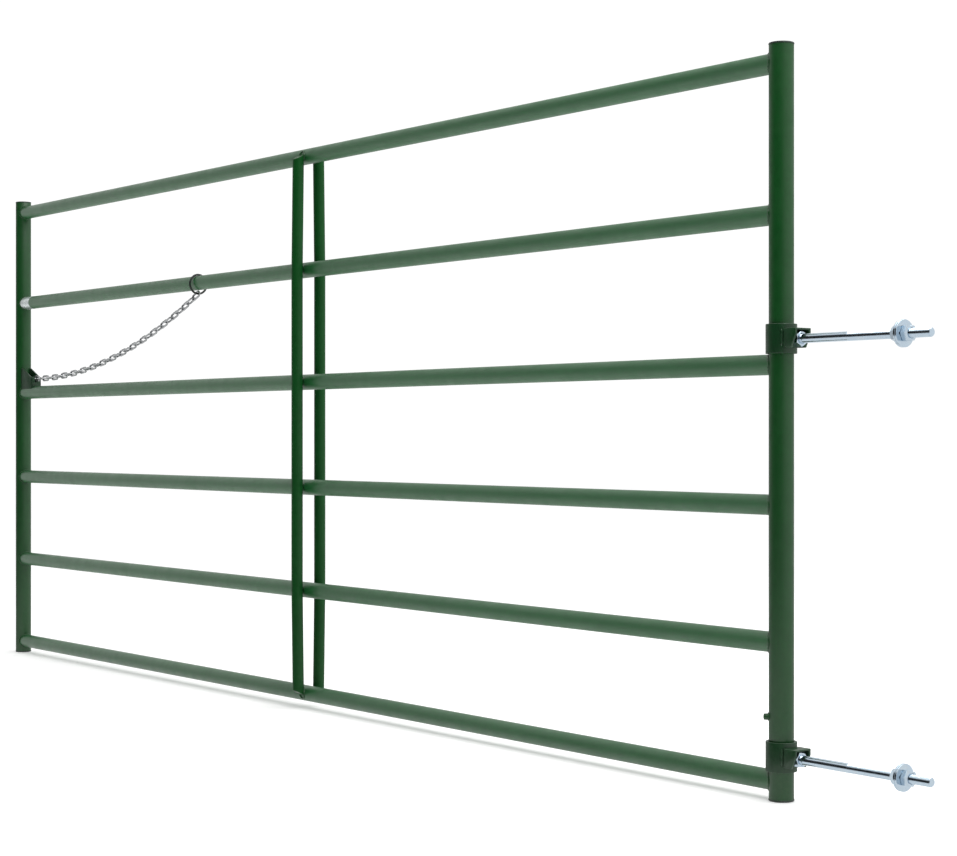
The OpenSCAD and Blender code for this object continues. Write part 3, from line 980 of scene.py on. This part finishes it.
def nut(node, body, turn):
    """A hexagon nut, each end chamfered so that its flats end in arcs."""
    low, high = box(node)
    length = high.x - low.x
    half_flat = NUT_HALF_FLAT
    face = half_flat * 0.955
    bore = extent("upper_hinge_bolt").z / 2 - 0.09 * MM
    lip = 0.9 * MM
    outline = [(bore, lip), (bore + lip, 0), (face, 0), (half_flat, 1 * MM),
               (half_flat, length - 1 * MM), (face, length),
               (bore + lip, length), (bore, length - lip)]
    bm = bmesh.new()
    made = lathe(bm, outline, 96)
    slope = math.tan(math.radians(28))
    for vert in made:
        radius = math.hypot(vert.co.x, vert.co.y)
        if radius > (face + half_flat) / 2:
            edge = hexagon_radius(math.atan2(vert.co.y, vert.co.x), half_flat)
            inset = 0.15 * MM + (edge - face) * slope
            vert.co.x *= edge / radius
            vert.co.y *= edge / radius
            vert.co.z = inset if vert.co.z < length / 2 else length - inset
    place = turned_to_x(low.x, 0, middle(node).z) @ Matrix.Rotation(turn, 4, "Z")
    bmesh.ops.transform(bm, matrix=place, verts=bm.verts)
    make_piece(bm, node + "_hex", body, "zinc_plate", [node], crease=28)


def washer(node, body):
    """A flat washer with rounded edges."""
    low, high = box(node)
    outer = extent(node).y / 2
    bore = extent("upper_hinge_bolt").z / 2 + 0.8 * MM
    thick = high.x - low.x
    section = rounded([(bore, 0), (outer, 0), (outer, thick), (bore, thick)], 1.0 * MM, 4)
    bm = bmesh.new()
    lathe(bm, section, 96, turned_to_x(low.x, 0, middle(node).z))
    make_piece(bm, node + "_disc", body, "zinc_plate", [node])


class GATE_OT_hinges(Operator):
    """Hinge sleeves with their bolts, nuts and washers"""
    bl_idname = "gate.hinges"
    bl_label = "Hinges"

    def execute(self, context):
        settings = context.scene.gate_hardware
        turns = {"lock": (0, 22), "inner": (12, 25), "outer": (30, 18)}  # degrees
        for number, hinge in enumerate(HINGES):
            hinge_sleeve(hinge, settings)
            hinge_bolt(hinge, settings)
            for place, degrees in turns.items():
                body = "post_bolts" if place == "lock" else f"{hinge}_{place}_clamp"
                nut(f"{hinge}_{place}_nut", body, math.radians(degrees[number]))
                if place != "lock":
                    washer(f"{hinge}_{place}_washer", body)
        return {"FINISHED"}


# ---- latch chain ----

def solids_of(node):
    """The corners of each separate solid of a CAD node, the one nearest the hinge first."""
    bm = bmesh.new()
    bm.from_mesh(frame["nodes"][node].data)
    bmesh.ops.remove_doubles(bm, verts=bm.verts, dist=1e-6)
    left = set(bm.verts)
    solids = []
    while left:
        stack = [left.pop()]
        corners = []
        while stack:
            vert = stack.pop()
            corners.append(vert.co.copy())
            for edge in vert.link_edges:
                other = edge.other_vert(vert)
                if other in left:
                    left.remove(other)
                    stack.append(other)
        solids.append(corners)
    bm.free()
    return sorted(solids, key=lambda corners: -max(c.x for c in corners))


def link_place(corners):
    """Where a link is, how it slopes in the XZ plane and whether it lies flat."""
    low = Vector(min(c[i] for c in corners) for i in range(3))
    high = Vector(max(c[i] for c in corners) for i in range(3))
    centre = (low + high) / 2
    spread = [c - centre for c in corners]
    slope = 0.5 * math.atan2(2 * sum(d.x * d.z for d in spread),
                             sum(d.x ** 2 - d.z ** 2 for d in spread))
    return centre, slope, high.y - low.y


def link_path(length, width, steps, swell):
    """Centre line of a link in XY, and the wire's size along it: thicker at its weld."""
    bend = width / 2
    straight = length / 2 - bend
    path, sizes = [], []
    for end in (1, -1):
        for i in range(steps + 1):
            angle = math.pi * (i / steps - 0.5)
            path.append(Vector((end * (straight + bend * math.cos(angle)),
                                end * bend * math.sin(angle), 0)))
            sizes.append(1.0)
        if end > 0:
            weld = ((2.2, 1.0), (0.9, swell), (-0.9, swell), (-2.2, 1.0))
            path += [Vector((x * MM, bend, 0)) for x, _ in weld]
            sizes += [size for _, size in weld]
    return path, sizes


def chain_pair(node, body, wire, length, width, settings):
    """Two links of the chain, one upright and one flat, where the CAD's links are."""
    bm = bmesh.new()
    path, sizes = link_path(length, width, settings.link_steps, settings.weld_swell)
    for corners in solids_of(node):
        centre, slope, depth = link_place(corners)
        flat = depth > 1.5 * wire
        place = (Matrix.Translation(centre) @ Matrix.Rotation(-slope, 4, "Y")
                 @ Matrix.Rotation(0 if flat else math.pi / 2, 4, "X"))
        placed = [place @ point for point in path]
        normal = place.to_3x3() @ Vector((0, 0, 1))
        sweep_loop(bm, placed, normal, [wire / 2 * size for size in sizes], settings.link_sides)
    make_piece(bm, node + "_wire", body, "chain_steel", [node])


def chain_ring():
    """The ring round the second rail, swollen at its butt weld."""
    low, high = box("chain_ring")
    centre = (low + high) / 2
    wire = (high.x - low.x) / 2
    radius = (high.z - low.z) / 2 - wire
    steps = 72
    weld = (5, 6)
    path = [centre + radius * Vector((0, math.cos(angle), math.sin(angle)))
            for angle in angles_round(steps)]
    radii = [wire * (1.14 if i in weld else 1.0) for i in range(steps)]
    bm = bmesh.new()
    sweep_loop(bm, path, Vector((1, 0, 0)), radii, 16)
    make_piece(bm, "chain_ring_wire", "ring", "hinge_paint", ["chain_ring"], coat="ring_coat")


class GATE_OT_chain(Operator):
    """The latch chain and the ring that carries it"""
    bl_idname = "gate.chain"
    bl_label = "Latch chain"

    def execute(self, context):
        settings = context.scene.gate_chain
        chain_ring()
        bodies = frame["record"]["behaviour"]["bodies"]
        upright, flat = solids_of("chain_links_01")
        wire = link_place(upright)[2]
        width = link_place(flat)[2] - wire
        centre, slope, _ = link_place(flat)
        axis = Vector((math.cos(slope), 0, math.sin(slope)))
        length = 2 * max((corner - centre).dot(axis) for corner in flat) - wire
        for body, nodes in bodies.items():
            for node in nodes:
                if node.startswith("chain_links_"):
                    chain_pair(node, body, wire, length, width, settings)
        return {"FINISHED"}


# ---- chain keeper and foil wrap ----

class GATE_OT_keeper(Operator):
    """The keeper that holds the chain's end: two gussets and a slotted plate"""
    bl_idname = "gate.keeper"
    bl_label = "Chain keeper"

    def execute(self, context):
        settings = context.scene.gate_chain
        high = box("chain_keeper")[1]
        outer = extent("chain_keeper").y / 2
        inner = outer - settings.gusset
        top = high.z - settings.back_rise
        foot = middle("third_rail").z + math.sqrt(RAIL_R ** 2 - outer ** 2) - 1 * MM
        root = LATCH_X + math.sqrt(UPRIGHT_R ** 2 - outer ** 2) - 0.5 * MM
        bm = bmesh.new()
        gusset = [(root, foot), (high.x, foot), (high.x, top), (high.x - settings.plate, top),
                  (LATCH_X + UPRIGHT_R + 1 * MM, high.z), (root, high.z)]
        for side in (inner, -outer):
            stand = Matrix.Translation((0, side + settings.gusset, 0)) @ Matrix.Rotation(
                math.pi / 2, 4, "X")
            plate(bm, gusset, settings.gusset, stand, 0.7 * MM)
        half = settings.slot_width / 2
        slot = top - settings.slot_depth
        lead_in = 1.4 * MM
        edge = outer - 0.4 * MM
        right = [(edge, foot), (edge, top), (half + lead_in, top), (half, top - lead_in),
                 (half, slot + half * 0.6), (half * 0.55, slot)]
        face = right + [(-across, up) for across, up in reversed(right)]
        face = face[-1:] + face[:-1]
        stand = Matrix((
            (0, 0, 1, high.x - settings.plate), (1, 0, 0, 0), (0, 1, 0, 0), (0, 0, 0, 1)))
        plate(bm, face, settings.plate, stand, 0.5 * MM)
        make_piece(bm, "chain_keeper_bracket", "leaf", "green_powder_coat", ["chain_keeper"],
                   crease=40, coat="hinge_paint")
        return {"FINISHED"}


class GATE_OT_foil(Operator):
    """The blank foil wrap on the latch end of the second rail"""
    bl_idname = "gate.foil"
    bl_label = "Foil wrap"

    def execute(self, context):
        radius = extent("rail_wrap").z / 2
        level = middle("rail_wrap").z
        length_x = box("rail_wrap")[1].x - LATCH_X
        thin = 0.3 * MM
        rows = 40
        section = [(radius - thin, 0)] + [(radius, length_x * i / rows) for i in range(rows + 1)]
        section.append((radius - thin, length_x))
        bm = bmesh.new()
        lathe(bm, section, 96, turned_to_x(LATCH_X, 0, level))
        for vert in bm.verts:
            across = Vector((0, vert.co.y, vert.co.z - level))
            along = vert.co.x - LATCH_X
            dent = noise.noise(vert.co * 190) + 0.5 * noise.noise(vert.co * 520)
            if across.length > radius - 0.1 * MM:
                vert.co -= across.normalized() * 0.14 * MM * (1 + dent)
            else:
                vert.co -= across.normalized() * 0.05 * MM
            ragged = 0.9 * MM * noise.noise(Vector((vert.co.y, vert.co.z, 3.1)) * 160)
            vert.co.x -= max(0, ragged) * along / length_x
            reach = math.sqrt(UPRIGHT_R ** 2 - min(vert.co.y ** 2, UPRIGHT_R ** 2)) + 0.4 * MM
            vert.co.x = max(vert.co.x, LATCH_X + reach)
        make_piece(bm, "second_rail_foil", "leaf", "foil", ["rail_wrap"], crease=60)
        return {"FINISHED"}


# ---- studio ----

def floor_material(settings):
    made, tree, shader = material("studio floor")
    tone = shared(tree, "tone", Color=solid_color(settings.floor_color), Patch_Scale=0.6,
                  Spread=0.02)
    tree.links.new(tone, shader.inputs["Base Color"])
    shader.inputs["Roughness"].default_value = 0.9
    shader.inputs["Specular IOR Level"].default_value = 0.1
    shader.inputs["Emission Color"].default_value = (1, 1, 1, 1)
    shader.inputs["Emission Strength"].default_value = settings.floor_glow
    return made


def surroundings(settings):
    """White surroundings with one unlit gap, plain white behind the object."""
    world = bpy.data.worlds.new("studio")
    bpy.context.scene.world = world
    world.use_nodes = True
    tree = world.node_tree
    background = tree.nodes["Background"]
    background.inputs["Color"].default_value = (1, 1, 1, 1)
    place = tree.nodes.new("ShaderNodeTexCoord").outputs["Generated"]
    heading = (math.cos(settings.gap_heading), math.sin(settings.gap_heading), 0)
    level = add(tree, "ShaderNodeVectorMath", {"operation": "MULTIPLY"}, _0=place, _1=(1, 1, 0))
    flat = add(tree, "ShaderNodeVectorMath", {"operation": "NORMALIZE"}, _0=level.outputs[0])
    towards = add(tree, "ShaderNodeVectorMath", {"operation": "DOT_PRODUCT"},
                  _0=flat.outputs[0], _1=heading)
    height = add(tree, "ShaderNodeSeparateXYZ", _0=place).outputs["Z"]
    over = calculate(tree, "SUBTRACT", height, math.sin(settings.gap_level))
    along = ramp(tree, towards.outputs["Value"], math.cos(settings.gap_width + GAP_SOFT_SIDES),
                 math.cos(settings.gap_width - GAP_SOFT_SIDES), 0.0, 1.0, smooth=True)
    across = ramp(tree, calculate(tree, "ABSOLUTE", over),
                  math.sin(settings.gap_height - GAP_SOFT_ENDS),
                  math.sin(settings.gap_height + GAP_SOFT_ENDS), 1.0, 0.0, smooth=True)
    inside = calculate(tree, "MULTIPLY", along, across)
    light = ramp(tree, inside, 0.0, 1.0, settings.surround, settings.gap_brightness)
    seen = tree.nodes.new("ShaderNodeLightPath").outputs["Is Camera Ray"]
    shown = add(tree, "ShaderNodeMix", {"data_type": "FLOAT"}, _0=seen, _2=light, _3=SKY_WHITE)
    tree.links.new(shown.outputs[0], background.inputs["Strength"])


def lay_floor(scene, settings):
    """A wide floor just under the lowest point of the gate."""
    bm = bmesh.new()
    bmesh.ops.create_grid(bm, x_segments=8, y_segments=8, size=settings.floor_size / 2)
    mesh = bpy.data.meshes.new("studio_floor")
    bm.to_mesh(mesh)
    bm.free()
    mesh.materials.append(floor_material(settings))
    floor = bpy.data.objects.new("studio_floor", mesh)
    floor.location.z = cad_bounds[0][2] - FLOOR_GAP
    floor.visible_glossy = False
    scene.collection.objects.link(floor)


def hang_light(scene, settings):
    """A broad light over the gate."""
    lamp = bpy.data.lights.new("overhead", "AREA")
    lamp.shape = "RECTANGLE"
    lamp.size, lamp.size_y = settings.key_size
    lamp.energy = settings.key_power
    overhead = bpy.data.objects.new("overhead", lamp)
    overhead.location = settings.key_place
    aim = Vector(settings.key_aim) - overhead.location
    overhead.rotation_euler = aim.to_track_quat("-Z", "Y").to_euler()
    scene.collection.objects.link(overhead)


def set_camera(scene, settings):
    """The level camera, with its view shifted up by the lens."""
    lens = bpy.data.cameras.new("camera")
    lens.sensor_width = 36
    lens.lens = settings.lens
    lens.shift_y = settings.rise
    lens.clip_end = 200
    camera = bpy.data.objects.new("camera", lens)
    camera.location = settings.camera_place
    camera.rotation_euler = Vector(settings.camera_heading).to_track_quat("-Z", "Y").to_euler()
    scene.collection.objects.link(camera)
    scene.camera = camera


class GATE_OT_stage(Operator):
    """Floor, light and camera"""
    bl_idname = "gate.stage"
    bl_label = "Studio"

    def execute(self, context):
        settings = context.scene.gate_studio
        scene = context.scene
        scene.view_settings.view_transform = "Standard"
        lay_floor(scene, settings)
        surroundings(settings)
        hang_light(scene, settings)
        set_camera(scene, settings)
        return {"FINISHED"}


# ---- add-on ----

class GATE_PT_panel(Panel):
    """Lists the makers of the gate's pieces"""
    bl_label = "Panel gate"
    bl_idname = "GATE_PT_panel"
    bl_space_type = "VIEW_3D"
    bl_region_type = "UI"
    bl_category = "Gate"

    def draw(self, context):
        for maker in MAKERS:
            self.layout.operator(maker.bl_idname)


SETTINGS = {
    "gate_tubes": TubeSettings,
    "gate_hardware": HardwareSettings,
    "gate_chain": ChainSettings,
    "gate_finish": FinishSettings,
    "gate_studio": StudioSettings,
}
MAKERS = (GATE_OT_tubes, GATE_OT_braces, GATE_OT_caps, GATE_OT_lift_stop, GATE_OT_hinges,
          GATE_OT_chain, GATE_OT_keeper, GATE_OT_foil, GATE_OT_stage)


def register():
    for kind in (*SETTINGS.values(), *MAKERS, GATE_PT_panel):
        bpy.utils.register_class(kind)
    for name, kind in SETTINGS.items():
        setattr(bpy.types.Scene, name, PointerProperty(type=kind))


def unregister():
    for name in SETTINGS:
        delattr(bpy.types.Scene, name)
    for kind in reversed((*SETTINGS.values(), *MAKERS, GATE_PT_panel)):
        bpy.utils.unregister_class(kind)


def main():
    register()
    for maker in MAKERS:
        category, name = maker.bl_idname.split(".")
        getattr(getattr(bpy.ops, category), name)()


if __name__ == "__main__":
    main()
